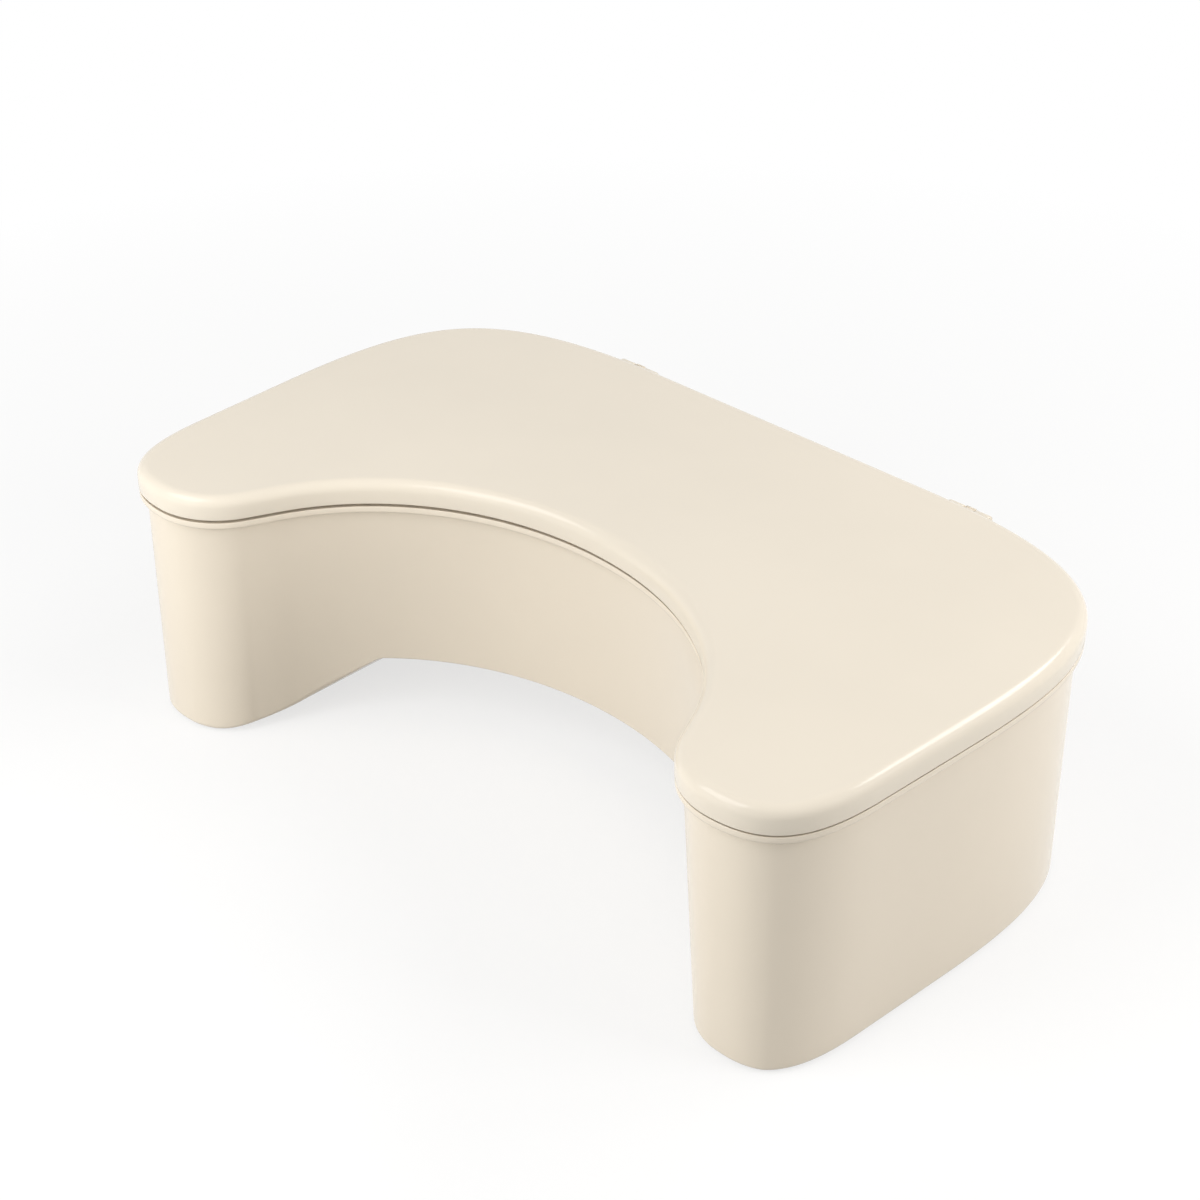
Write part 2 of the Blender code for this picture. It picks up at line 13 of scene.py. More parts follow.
import bmesh
import bpy
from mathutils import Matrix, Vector

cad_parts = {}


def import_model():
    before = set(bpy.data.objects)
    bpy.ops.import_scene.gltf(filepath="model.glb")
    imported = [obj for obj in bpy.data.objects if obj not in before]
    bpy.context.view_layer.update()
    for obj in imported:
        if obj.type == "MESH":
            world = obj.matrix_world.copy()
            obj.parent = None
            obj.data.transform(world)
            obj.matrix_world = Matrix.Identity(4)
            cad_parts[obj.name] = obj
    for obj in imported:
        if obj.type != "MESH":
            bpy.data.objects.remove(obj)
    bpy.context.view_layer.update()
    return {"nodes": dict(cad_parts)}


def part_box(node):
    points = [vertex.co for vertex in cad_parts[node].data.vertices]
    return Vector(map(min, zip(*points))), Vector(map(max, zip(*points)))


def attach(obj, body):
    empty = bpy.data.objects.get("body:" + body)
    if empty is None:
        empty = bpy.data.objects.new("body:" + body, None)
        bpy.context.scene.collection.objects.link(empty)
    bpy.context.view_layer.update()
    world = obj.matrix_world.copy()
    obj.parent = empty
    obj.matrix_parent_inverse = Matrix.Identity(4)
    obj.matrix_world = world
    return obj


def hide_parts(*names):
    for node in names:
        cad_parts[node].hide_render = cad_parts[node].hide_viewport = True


LOG = logging.getLogger("footstool")

Pair = tuple[float, float]
Spot = tuple[float, float]
Place = tuple[float, float, float]
Colour = tuple[float, float, float]
Socket = bpy.types.NodeSocket

MM = 0.001
QUARTER = math.pi / 2
# A corner this near a cutting plane lies on it
ON_PLANE = 0.001 * MM
# Edges that turn by more than this stay creases in the smooth shading
CREASE_ANGLE = math.radians(34.0)
# Edges that turn by more than this are rounded
ROUNDED_ANGLE = math.radians(32.0)
# The middle of a noise's range, where most of its values lie
SOFT_RANGE: Pair = (0.3, 0.7)
WHITE = (1.0, 1.0, 1.0, 1.0)
TUB_COLOUR: Colour = (0.80, 0.713, 0.586)
# The lid is the same ivory plastic as the tub; its slightly paler, greyer tone is painted sheen for
# the light its top catches
LID_IVORY_WITH_PAINTED_SHEEN: Colour = (0.80, 0.725, 0.606)
CAMERA_TARGET: Place = (0.0, 0.0302, 0.0857)


class Body(Enum):
    """The two bodies that the pieces ride on."""

    BASE = "base"
    LID = "lid"


class Slot(Enum):
    """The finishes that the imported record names."""

    TUB = "tub_plastic"
    LID = "lid_plastic"
    STEEL = "pin_steel"
    RUBBER = "pad_rubber"


class Join(Enum):
    """How one body changes another."""

    ADD = "UNION"
    CUT = "DIFFERENCE"


# Shapes


@dataclass(frozen=True)
class Station:
    """One point of the outline with its outward direction and its share of the notch's lean."""

    x: float
    y: float
    out_x: float
    out_y: float
    lean: float

    def at(self, inset: float, height: float) -> Place:
        """The point drawn in by inset, at one height."""
        return (self.x - self.out_x * inset, self.y - self.out_y * inset, height)

    def mirrored(self) -> "Station":
        """The same station on the stool's other half."""
        return Station(-self.x, self.y, -self.out_x, self.out_y, self.lean)


def straight(start: Spot, end: Spot, steps: int) -> list[tuple[Spot, Spot]]:
    """Points and directions along one straight run, without its last point.

    Args:
        start: Where the run starts.
        end: Where it ends.
        steps: How many equal steps it has.

    Returns:
        Pairs of a point and the run's direction.
    """
    along = (end[0] - start[0], end[1] - start[1])
    return [
        ((start[0] + along[0] * i / steps, start[1] + along[1] * i / steps), along)
        for i in range(steps)
    ]


def curve(a: Spot, b: Spot, c: Spot, d: Spot, steps: int) -> list[tuple[Spot, Spot]]:
    """Points and directions along one cubic curve, without its last point.

    Args:
        a: Where the curve starts.
        b: The handle of its start.
        c: The handle of its end.
        d: Where it ends.
        steps: How many steps it has.

    Returns:
        Pairs of a point and the curve's direction there.
    """
    found = []
    for step in range(steps):
        t = step / steps
        s = 1 - t
        point = tuple(
            s**3 * a[k] + 3 * s * s * t * b[k] + 3 * s * t * t * c[k] + t**3 * d[k]
            for k in range(2)
        )
        along = tuple(
            s * s * (b[k] - a[k]) + 2 * s * t * (c[k] - b[k]) + t * t * (d[k] - c[k])
            for k in range(2)
        )
        found.append((point, along))
    return found


def arc(centre: Spot, radius: float, start: float, end: float, steps: int) -> list[Spot]:
    """Points on an arc in a plane, both ends included.

    Args:
        centre: The arc's centre.
        radius: Its radius.
        start: Angle of its first point.
        end: Angle of its last point.
        steps: How many steps it has.

    Returns:
        The points in order.
    """
    return [
        (
            centre[0] + radius * math.cos(start + (end - start) * i / steps),
            centre[1] + radius * math.sin(start + (end - start) * i / steps),
        )
        for i in range(steps + 1)
    ]


def eased(share: float) -> float:
    """A share from 0 to 1 that starts and ends softly."""
    share = min(1.0, max(0.0, share))
    return share * share * (3 - 2 * share)


@dataclass(frozen=True)
class Outline:
    """The lid's outline from above: round back corners, toed-in sides, feet and notch.

    The shares of a corner or the notch say how far its curve's two handles reach, as parts of
    the curve's own width or depth.
    """

    front_y: float
    width: float = 450.0 * MM
    depth: float = 260.0 * MM
    back_corner_width: float = 138.0 * MM
    back_corner_depth: float = 145.0 * MM
    side_toe_in: float = math.radians(2.5)
    foot_corner_width: float = 47.0 * MM
    foot_corner_depth: float = 57.0 * MM
    foot_inner_radius: float = 40.0 * MM
    flank_angle: float = math.radians(65.0)
    flank_length: float = 18.0 * MM
    notch_depth: float = 116.0 * MM
    back_corner_shares: Pair = (0.90, 0.70)
    foot_outer_shares: Pair = (0.69, 0.70)
    notch_shares: Pair = (0.39, 0.44)
    lean_start_share: float = 0.4
    back_steps: int = 4
    back_corner_steps: int = 110
    side_steps: int = 6
    foot_outer_steps: int = 40
    foot_inner_steps: int = 24
    flank_steps: int = 8
    notch_steps: int = 80

    @property
    def back_y(self) -> float:
        """Where the straight back edge lies."""
        return self.front_y + self.depth

    def half(self) -> list[Station]:
        """The right half, from the back edge's middle round the foot to the notch's middle.

        Returns:
            The stations in order.
        """
        back, front, side_x = self.back_y, self.front_y, self.width / 2
        toe = self.side_toe_in
        down = (-math.sin(toe), -math.cos(toe))
        corner_start = (side_x - self.back_corner_width, back)
        corner_end = (side_x, back - self.back_corner_depth)
        reach = self.back_corner_depth * self.back_corner_shares[1]
        run = straight((0.0, back), corner_start, self.back_steps)
        run += curve(
            corner_start,
            (corner_start[0] + self.back_corner_width * self.back_corner_shares[0], back),
            (corner_end[0] - down[0] * reach, corner_end[1] - down[1] * reach),
            corner_end,
            self.back_corner_steps,
        )
        side_end_y = front + self.foot_corner_depth
        side_end = (side_x - (corner_end[1] - side_end_y) * math.tan(toe), side_end_y)
        run += straight(corner_end, side_end, self.side_steps)
        tip = (side_x - self.foot_corner_width, front)
        reach = self.foot_corner_depth * self.foot_outer_shares[0]
        run += curve(
            side_end,
            (side_end[0] + down[0] * reach, side_end[1] + down[1] * reach),
            (tip[0] + (side_end[0] - tip[0]) * self.foot_outer_shares[1], front),
            tip,
            self.foot_outer_steps,
        )
        start, steps = self.lean_start_share, self.foot_outer_steps
        inner = self._inner_half(tip)
        leans = [0.0] * (len(run) - steps)
        leans += [max(0.0, i / steps - 1 + start) for i in range(steps)]
        leans += [min(1.0, start + (1 - start) * i / self.foot_inner_steps) for i in range(len(inner))]
        return self._outward(run + inner, leans)

    def _inner_half(self, tip: Spot) -> list[tuple[Spot, Spot]]:
        """The foot's inner side and the notch.

        Args:
            tip: The foot's foremost point, where the inner side starts.

        Returns:
            Pairs of a point and a direction, up to the notch's middle.
        """
        radius, angle = self.foot_inner_radius, self.flank_angle
        run = []
        for step in range(self.foot_inner_steps):
            turn = angle * step / self.foot_inner_steps
            point = (tip[0] - radius * math.sin(turn), tip[1] + radius * (1 - math.cos(turn)))
            run.append((point, (-math.cos(turn), math.sin(turn))))
        up = (-math.cos(angle), math.sin(angle))
        start = (tip[0] - radius * math.sin(angle), tip[1] + radius * (1 - math.cos(angle)))
        end = (start[0] + up[0] * self.flank_length, start[1] + up[1] * self.flank_length)
        run += straight(start, end, self.flank_steps)
        middle = (0.0, self.front_y + self.notch_depth)
        reach = end[0] * self.notch_shares[0]
        run += curve(
            end,
            (end[0] + up[0] * reach, end[1] + up[1] * reach),
            (end[0] * self.notch_shares[1], middle[1]),
            middle,
            self.notch_steps,
        )
        return run + [(middle, (-1.0, 0.0))]

    @staticmethod
    def _outward(run: Iterable[tuple[Spot, Spot]], leans: Iterable[float]) -> list[Station]:
        """Turns directions along the outline into outward ones.

        Args:
            run: Pairs of a point and a direction along the outline.
            leans: Each point's share of the notch's lean.

        Returns:
            The stations in order.
        """
        found = []
        for (point, along), lean in zip(run, leans):
            length = math.hypot(*along)
            found.append(Station(*point, -along[1] / length, along[0] / length, lean))
        return found

    def stations(self) -> list[Station]:
        """The closed outline, clockwise seen from above."""
        half = self.half()
        return half + [station.mirrored() for station in half[-2:0:-1]]


def as_object(name: str, shape: bmesh.types.BMesh) -> bpy.types.Object:
    """Links a finished shape to the scene, with its faces pointing out.

    Args:
        name: The object's name.
        shape: The shape, which is freed.

    Returns:
        The new object.
    """
    bmesh.ops.recalc_face_normals(shape, faces=shape.faces)
    mesh = bpy.data.meshes.new(name)
    shape.to_mesh(mesh)
    shape.free()
    made = bpy.data.objects.new(name, mesh)
    bpy.context.scene.collection.objects.link(made)
    return made


def skin(shape: bmesh.types.BMesh, rows: Sequence[Sequence[Place]]) -> list[bmesh.types.BMFace]:
    """Grows a closed body through rows of points with equal counts.

    Args:
        shape: The shape that takes the body.
        rows: The rings of points, from one end to the other.

    Returns:
        The faces that cap the first and the last ring.
    """
    rings = [[shape.verts.new(point) for point in row] for row in rows]
    for lower, upper in zip(rings, rings[1:]):
        for i, corner in enumerate(lower):
            j = (i + 1) % len(lower)
            shape.faces.new((corner, lower[j], upper[j], upper[i]))
    return [shape.faces.new(rings[0][::-1]), shape.faces.new(rings[-1])]


def combine(target: bpy.types.Object, tool: bpy.types.Object, join: Join) -> None:
    """Joins or cuts the target with a tool, which is removed.

    Args:
        target: The body that changes.
        tool: The body or bodies that it is joined or cut with.
        join: Whether the tool is added or cut away.
    """
    modifier = target.modifiers.new(join.name, "BOOLEAN")
    modifier.operation = join.value
    modifier.solver = "EXACT"
    modifier.object = tool
    flatten(target)
    bpy.data.objects.remove(tool, do_unlink=True)


def flatten(target: bpy.types.Object) -> None:
    """Applies an object's modifiers to its mesh.

    Args:
        target: The object, which keeps its name.
    """
    bpy.context.view_layer.update()
    graph = bpy.context.evaluated_depsgraph_get()
    result = bpy.data.meshes.new_from_object(target.evaluated_get(graph))
    target.modifiers.clear()
    target.data = result


def prisms(name: str, outline: Sequence[Spot], spans: Iterable[Pair]) -> bpy.types.Object:
    """One outline in (y, z) drawn out along X over several spans, as one object.

    Args:
        name: The object's name.
        outline: The section's points.
        spans: Where each prism starts and ends along X.

    Returns:
        The object that holds all the prisms.
    """
    shape = bmesh.new()
    for start, end in spans:
        skin(shape, [[(x, y, z) for y, z in outline] for x in (start, end)])
    return as_object(name, shape)


def turned(shape: bmesh.types.BMesh, centre: Spot, profile: Iterable[Spot], steps: int) -> None:
    """Adds a solid turned round an upright axis.

    Args:
        shape: The shape that takes the solid.
        centre: Where the axis stands.
        profile: Pairs of a radius and a height, from one end to the other.
        steps: How many sides the solid has.
    """
    rows = []
    for radius, height in profile:
        ring = arc(centre, radius, 0.0, 2 * math.pi, steps)[:-1]
        rows.append([(x, y, height) for x, y in ring])
    skin(shape, rows)


def soften(target: bpy.types.Object, width: float, steps: int = 3) -> None:
    """Rounds an object's sharp edges.

    Args:
        target: The object, whose modifiers are applied.
        width: The rounding's radius.
        steps: How many steps the rounding has.
    """
    modifier = target.modifiers.new("Rounding", "BEVEL")
    modifier.width = width
    modifier.segments = steps
    modifier.limit_method = "ANGLE"
    modifier.angle_limit = ROUNDED_ANGLE
    modifier.use_clamp_overlap = True
    flatten(target)


# Finishes


class Recipe:
    """A material's node tree, written one node at a time.

    A colour mix has sockets of the same name for numbers and vectors too, so its colours are
    reached by place.
    """

    FIRST_COLOUR = 6
    SECOND_COLOUR = 7
    MIXED_COLOUR = 2

    def __init__(self, name: str) -> None:
        """Starts an empty material with its output.

        Args:
            name: The material's name.
        """
        self.material = bpy.data.materials.new(name)
        self.material.use_nodes = True
        self.tree = self.material.node_tree
        self.tree.nodes.clear()
        self.output = self.tree.nodes.new("ShaderNodeOutputMaterial")

    def node(
        self, kind: str, values: dict[str | int, object] | None = None, **settings: object
    ) -> bpy.types.Node:
        """Adds one node.

        Args:
            kind: The node's type, without its Shader prefix.
            values: A value or a linked socket for each input, by its name or its place.
            settings: The node's own properties.

        Returns:
            The new node.
        """
        made = self.tree.nodes.new(f"ShaderNode{kind}")
        for name, setting in settings.items():
            setattr(made, name, setting)
        for name, value in (values or {}).items():
            if isinstance(value, Socket):
                self.tree.links.new(value, made.inputs[name])
            else:
                made.inputs[name].default_value = value
        return made

    def noise(self, place: Socket, per_metre: float, detail: float, rough: float) -> Socket:
        """Soft blotches from 0 to 1.

        Args:
            place: The coordinates that the noise is read at.
            per_metre: How many blotches fit in a metre.
            detail: How many finer layers it has.
            rough: How strong each finer layer is.

        Returns:
            The noise's value.
        """
        values = {"Vector": place, "Scale": per_metre, "Detail": detail, "Roughness": rough}
        return self.node("TexNoise", values).outputs[0]

    def spread(
        self, value: Socket, low: float, high: float, start: float = 0.0, end: float = 1.0
    ) -> Socket:
        """Maps a value from one range to another, and keeps it in there.

        Args:
            value: The value to map.
            low: What the range's start becomes.
            high: What the range's end becomes.
            start: The range's start.
            end: The range's end.

        Returns:
            The mapped value.
        """
        values = {"From Min": start, "From Max": end, "To Min": low, "To Max": high, "Value": value}
        return self.node("MapRange", values).outputs[0]

    def blend(self, share: Socket, first: object, second: object) -> Socket:
        """Mixes two colours.

        Args:
            share: How much of the second colour there is, from 0 to 1.
            first: A colour or a linked socket.
            second: A colour or a linked socket.

        Returns:
            The mixed colour.
        """
        values = {"Factor": share, self.FIRST_COLOUR: first, self.SECOND_COLOUR: second}
        return self.node("Mix", values, data_type="RGBA").outputs[self.MIXED_COLOUR]

    def either(self, first: Socket, second: Socket) -> Socket:
        """1 where one of two switches is on."""
        return self.node("Math", {0: first, 1: second}, operation="MAXIMUM").outputs[0]

    def bump(self, height: Socket, distance: float, under: Socket | None = None) -> Socket:
        """Relief from a height, laid over an earlier one.

        Args:
            height: The relief's height from 0 to 1.
            distance: How far a height of 1 stands out.
            under: The relief below this one.

        Returns:
            The normal that shows the relief.
        """
        values = {"Height": height, "Distance": distance, "Strength": 1.0}
        if under is not None:
            values["Normal"] = under
        return self.node("Bump", values).outputs[0]

    def done(self, shader: bpy.types.Node) -> bpy.types.Material:
        """Connects the finished shader and gives the material back."""
        self.tree.links.new(shader.outputs[0], self.output.inputs["Surface"])
        return self.material


def shade(colour: Colour, lightness: float) -> tuple[float, float, float, float]:
    """A colour made lighter or darker by one factor, with full cover."""
    return (*[channel * lightness for channel in colour], 1.0)


@dataclass(frozen=True)
class IvoryPlastic:
    """Moulded ivory plastic with a soft gloss, faint flow marks and fine scuffs."""

    name: str
    colour: Colour
    cloud: float = 0.020
    cloud_per_metre: float = 9.0
    marks_per_cloud: float = 7.0
    roughness: Pair = (0.14, 0.21)
    grain_per_metre: float = 450.0
    grain_depth: float = 0.004 * MM
    wave_per_metre: float = 16.0
    wave_depth: float = 0.30 * MM
    scuff_amount: float = 0.05
    scuff_per_metre: float = 260.0
    scuff_stretch: Place = (1.0, 0.06, 1.0)
    scuff_turn: Place = (0.0, 0.0, 0.6)
    scuff_width: Pair = (0.66, 0.74)
    scuff_patches: Pair = (0.52, 0.70)
    scuff_dulling: float = 0.25
    refraction: float = 1.49

    def material(self) -> bpy.types.Material:
        """Writes the plastic's material.

        Returns:
            The material, whose coordinates are the object's own metres.
        """
        recipe = Recipe(self.name)
        place = recipe.node("TexCoord").outputs["Object"]
        cloud = recipe.noise(place, self.cloud_per_metre, detail=3.0, rough=0.55)
        marks_per_metre = self.cloud_per_metre * self.marks_per_cloud
        marks = recipe.noise(place, marks_per_metre, detail=4.0, rough=0.6)
        tone = recipe.spread(cloud, 0.0, 1.0, *SOFT_RANGE)
        dark, light = shade(self.colour, 1 - self.cloud), shade(self.colour, 1 + self.cloud / 2)

        turned_place = {"Vector": place, "Scale": self.scuff_stretch, "Rotation": self.scuff_turn}
        stretched = recipe.node("Mapping", turned_place).outputs[0]
        hairs = recipe.noise(stretched, self.scuff_per_metre, detail=2.0, rough=0.6)
        hair = recipe.spread(hairs, 0.0, 1.0, *self.scuff_width)
        patch = recipe.spread(marks, 0.0, self.scuff_amount, *self.scuff_patches)
        scuff = recipe.node("Math", {0: hair, 1: patch}, operation="MULTIPLY").outputs[0]
        gloss = recipe.spread(marks, *self.roughness, *SOFT_RANGE)
        dulled = {0: scuff, 1: self.scuff_dulling, 2: gloss}

        wave = recipe.noise(place, self.wave_per_metre, detail=1.0, rough=0.4)
        grain = recipe.noise(place, self.grain_per_metre, detail=2.0, rough=0.6)
        broad = recipe.bump(wave, self.wave_depth)
        values = {
            "Base Color": recipe.blend(tone, dark, light),
            "Roughness": recipe.node("Math", dulled, operation="MULTIPLY_ADD").outputs[0],
            "Normal": recipe.bump(grain, self.grain_depth, under=broad),
            "IOR": self.refraction,
        }
        return recipe.done(recipe.node("BsdfPrincipled", values))


@dataclass(frozen=True)
class DrawnSteel:
    """Bright steel with the fine lines of a drawn rod along X."""

    name: str = "drawn_steel"
    colour: Colour = (0.62, 0.61, 0.60)
    lines_per_metre: float = 5000.0
    line_stretch: Place = (0.02, 1.0, 1.0)
    line_depth: float = 0.01 * MM
    roughness: Pair = (0.18, 0.38)
    stains_per_metre: float = 500.0
    stain_range: Pair = (0.35, 0.75)
    stain_shade: float = 0.75

    def material(self) -> bpy.types.Material:
        """Writes the steel's material.

        Returns:
            The material, whose lines run along X.
        """
        recipe = Recipe(self.name)
        place = recipe.node("TexCoord").outputs["Object"]
        along = recipe.node("Mapping", {"Vector": place, "Scale": self.line_stretch}).outputs[0]
        lines = recipe.noise(along, self.lines_per_metre, detail=3.0, rough=0.6)
        stain = recipe.noise(place, self.stains_per_metre, detail=3.0, rough=0.6)
        share = recipe.spread(stain, 0.0, 1.0, *self.stain_range)
        bright, dark = shade(self.colour, 1.0), shade(self.colour, self.stain_shade)
        values = {
            "Base Color": recipe.blend(share, bright, dark),
            "Metallic": 1.0,
            "Roughness": recipe.spread(lines, *self.roughness),
            "Normal": recipe.bump(lines, self.line_depth),
        }
        return recipe.done(recipe.node("BsdfPrincipled", values))


@dataclass(frozen=True)
class MattRubber:
    """Soft grey-beige rubber with a pebbled face and rubbed patches."""

    name: str = "matt_rubber"
    colour: Colour = (0.62, 0.60, 0.56)
    pebbles_per_metre: float = 1100.0
    pebble_depth: float = 0.08 * MM
    pebbles_per_patch: float = 12.0
    patch_range: Pair = (0.4, 0.7)
    patch_shade: float = 0.72
    roughness: Pair = (0.62, 0.85)

    def material(self) -> bpy.types.Material:
        """Writes the rubber's material.

        Returns:
            The material, whose coordinates are the object's own metres.
        """
        recipe = Recipe(self.name)
        place = recipe.node("TexCoord").outputs["Object"]
        cells = {"Vector": place, "Scale": self.pebbles_per_metre}
        pebbles = recipe.node("TexVoronoi", cells, feature="SMOOTH_F1").outputs["Distance"]
        patches_per_metre = self.pebbles_per_metre / self.pebbles_per_patch
        rubbed = recipe.noise(place, patches_per_metre, detail=4.0, rough=0.6)
        share = recipe.spread(rubbed, 0.0, 1.0, *self.patch_range)
        clean, worn = shade(self.colour, 1.0), shade(self.colour, self.patch_shade)
        values = {
            "Base Color": recipe.blend(share, clean, worn),
            "Roughness": recipe.spread(rubbed, *self.roughness, *SOFT_RANGE),
            "Normal": recipe.bump(pebbles, self.pebble_depth),
        }
        return recipe.done(recipe.node("BsdfPrincipled", values))


def dress(
    piece: bpy.types.Object,
    finish: bpy.types.Material,
    body: Body,
    stands_for: str,
) -> bpy.types.Object:
    """Gives a finished mesh its material, smooth shading and its body, and hides the solid that it
    stands for.

    Args:
        piece: The piece, in place.
        finish: Its material.
        body: The body that it rides on.
        stands_for: The solid that it replaces.

    Returns:
        The same piece.
    """
    piece.data.materials.clear()
    piece.data.materials.append(finish)
    piece.data.shade_smooth()
    piece.data.set_sharp_from_angle(angle=CREASE_ANGLE)
    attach(piece, body.value)
    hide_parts(stands_for)
    LOG.info("%s: %d faces, rides on %s", piece.name, len(piece.data.polygons), body.value)
    return piece


# Pieces


@dataclass(frozen=True)
class Hinge:
    """What the lid, the tub and the pins share at the two hinges."""

    outline: Outline
    top: float
    past_back_flat: float = 22.0 * MM
    length: float = 24.5 * MM
    axis_back: float = 3.6 * MM
    axis_drop: float = 8.2 * MM
    knuckle_radius: float = 3.2 * MM
    knuckle_gap: float = 0.6 * MM
    lug_width: float = 5.6 * MM
    lug_radius: float = 2.7 * MM
    pin_radius: float = 1.25 * MM
    pin_clearance: float = 0.3 * MM
    overrun: float = 2.0 * MM
    round_steps: int = 48

    @property
    def axis(self) -> Spot:
        """The pins' axis in (y, z)."""
        return (self.outline.back_y + self.axis_back, self.top - self.axis_drop)

    @property
    def middles(self) -> Pair:
        """The middle of each hinge along X, left and right."""
        x = self.outline.width / 2 - self.outline.back_corner_width + self.past_back_flat
        return (-x, x)

    @property
    def knuckle_length(self) -> float:
        """How long each of the lid's four knuckles is."""
        return (self.length - self.lug_width) / 2 - self.knuckle_gap

    def knuckle_spans(self) -> list[Pair]:
        """Where the lid's knuckles lie.

        Returns:
            The start and the end of each along X, two at each hinge.
        """
        half, long = self.length / 2, self.knuckle_length
        return [
            span
            for x in self.middles
            for span in ((x - half, x - half + long), (x + half - long, x + half))
        ]

    def lug_spans(self) -> list[Pair]:
        """Where each lug starts and ends along X."""
        return [(x - self.lug_width / 2, x + self.lug_width / 2) for x in self.middles]

    def bores(self) -> bpy.types.Object:
        """The cutter of both pin holes.

        Returns:
            Two rods, wider than the pins and longer than the hinges.
        """
        radius = self.pin_radius + self.pin_clearance
        hole = arc(self.axis, radius, 0.0, 2 * math.pi, self.round_steps)[:-1]
        reach = self.length / 2 + self.overrun
        return prisms("bores", hole, [(x - reach, x + reach) for x in self.middles])


@dataclass(frozen=True)
class Lid:
    """The hinged lid: flat top, round edge, skirt, rib ring, rib grid and knuckles.

    The skirt's rim sinks by the drop between two places, which are parts of half the width.
    """

    outline: Outline
    hinge: Hinge
    top: float
    height: float = 12.0 * MM
    plate: float = 2.8 * MM
    skirt: float = 2.5 * MM
    edge_radius: float = 5.6 * MM
    rim_radius: float = 0.5 * MM
    inner_radius: float = 2.0 * MM
    support: float = 0.8 * MM
    ring_inset: float = 8.5 * MM
    ring_depth: float = 5.6 * MM
    rib_thickness: float = 1.8 * MM
    rib_depth: float = 5.0 * MM
    rib_pitch: float = 44.0 * MM
    rib_taper: float = 0.25 * MM
    pocket_radius: float = 1.6 * MM
    weld: float = 0.8 * MM
    knuckle_rounding: float = 0.7 * MM
    edge_steps: int = 12
    rim_steps: int = 3
    drop: float = 0.75 * MM
    drop_start_share: float = -0.4
    drop_end_share: float = 0.6

    @property
    def underside(self) -> float:
        """The height of the plate's underside."""
        return self.top - self.plate

    def rim_height(self, x: float) -> float:
        """The skirt's lower rim, which sinks a little towards the right end.

        Args:
            x: Where the height is taken.

        Returns:
            The rim's height.
        """
        side = self.outline.width / 2
        share = (x / side - self.drop_start_share) / (self.drop_end_share - self.drop_start_share)
        return self.top - self.height - self.drop * eased(share)

    def section(self, station: Station) -> list[Spot]:
        """The lid's section at one station, from the top round to the underside.

        Args:
            station: Where the section is taken.

        Returns:
            Pairs of an inset from the outline and a height.
        """
        rim = self.rim_height(station.x)
        under = self.underside
        edge_centre = (self.edge_radius, self.top - self.edge_radius)
        outer_rim = (self.rim_radius, rim + self.rim_radius)
        inner_rim = (self.skirt - self.rim_radius, rim + self.rim_radius)
        corner = (self.skirt + self.inner_radius, under - self.inner_radius)
        ring_outer, ring_bottom = self.ring_inset, under - self.ring_depth
        ring_inner = ring_outer + self.rib_thickness
        return [
            (self.edge_radius + self.support, self.top),
            *arc(edge_centre, self.edge_radius, QUARTER, math.pi, self.edge_steps),
            (0.0, edge_centre[1] - self.support),
            *arc(outer_rim, self.rim_radius, math.pi, 3 * QUARTER, self.rim_steps),
            *arc(inner_rim, self.rim_radius, -QUARTER, 0.0, self.rim_steps),
            *arc(corner, self.inner_radius, math.pi, QUARTER, self.rim_steps * 2),
            (ring_outer - self.support, under),
            (ring_outer, under - self.rim_radius),
            (ring_outer, ring_bottom + self.rim_radius),
            (ring_outer + self.rim_radius, ring_bottom),
            (ring_inner - self.rim_radius, ring_bottom),
            (ring_inner, ring_bottom + self.rim_radius),
            (ring_inner, under),
            (ring_inner + self.support, under),
        ]

    def shell(self) -> bpy.types.Object:
        """Draws the section round the outline.

        Returns:
            The lid without its ribs and knuckles.
        """
        shape = bmesh.new()
        stations = self.outline.stations()
        columns = [[s.at(*step) for step in self.section(s)] for s in stations]
        skin(shape, list(zip(*columns)))
        return as_object("lid_shell", shape)

    def pockets(self) -> bpy.types.Object:
        """The tapered square gaps of the rib grid.

        Returns:
            One cutter for all the gaps.
        """
        shape = bmesh.new()
        columns = math.ceil(self.outline.width / self.rib_pitch)
        rows = math.ceil(self.outline.depth / self.rib_pitch)
        low = self.underside - self.rib_depth - self.hinge.overrun
        high = self.underside + self.weld + self.hinge.overrun
        half = (self.rib_pitch - self.rib_thickness) / 2
        middle_y = self.outline.front_y + self.outline.depth / 2
        for column in range(columns):
            for row in range(rows):
                x = (column - (columns - 1) / 2) * self.rib_pitch
                y = middle_y + (row - (rows - 1) / 2) * self.rib_pitch
                rings = []
                for height, grow in ((low, self.rib_taper), (high, 0.0)):
                    ring = self.round_square((x, y), half + grow)
                    rings.append([(a, b, height) for a, b in ring])
                skin(shape, rings)
        return as_object("pockets", shape)

    def round_square(self, centre: Spot, half: float) -> list[Spot]:
        """A square with round corners.

        Args:
            centre: The square's middle.
            half: Half of its side.

        Returns:
            Its points in order.
        """
        found = []
        reach = half - self.pocket_radius
        for quarter, (side_x, side_y) in enumerate(((1, 1), (-1, 1), (-1, -1), (1, -1))):
            corner = (centre[0] + side_x * reach, centre[1] + side_y * reach)
            start = quarter * QUARTER
            found += arc(corner, self.pocket_radius, start, start + QUARTER, self.rim_steps)
        return found

    def ribs(self) -> bpy.types.Object:
        """Cuts the rib grid from a block of the ring rib's outline.

        Returns:
            The grid, a little sunk into the plate.
        """
        inset = self.ring_inset + self.rib_thickness / 2
        shape = bmesh.new()
        stations = self.outline.stations()
        levels = (self.underside - self.rib_depth, self.underside + self.weld)
        skin(shape, [[s.at(inset, level) for s in stations] for level in levels])
        made = as_object("ribs", shape)
        combine(made, self.pockets(), Join.CUT)
        return made

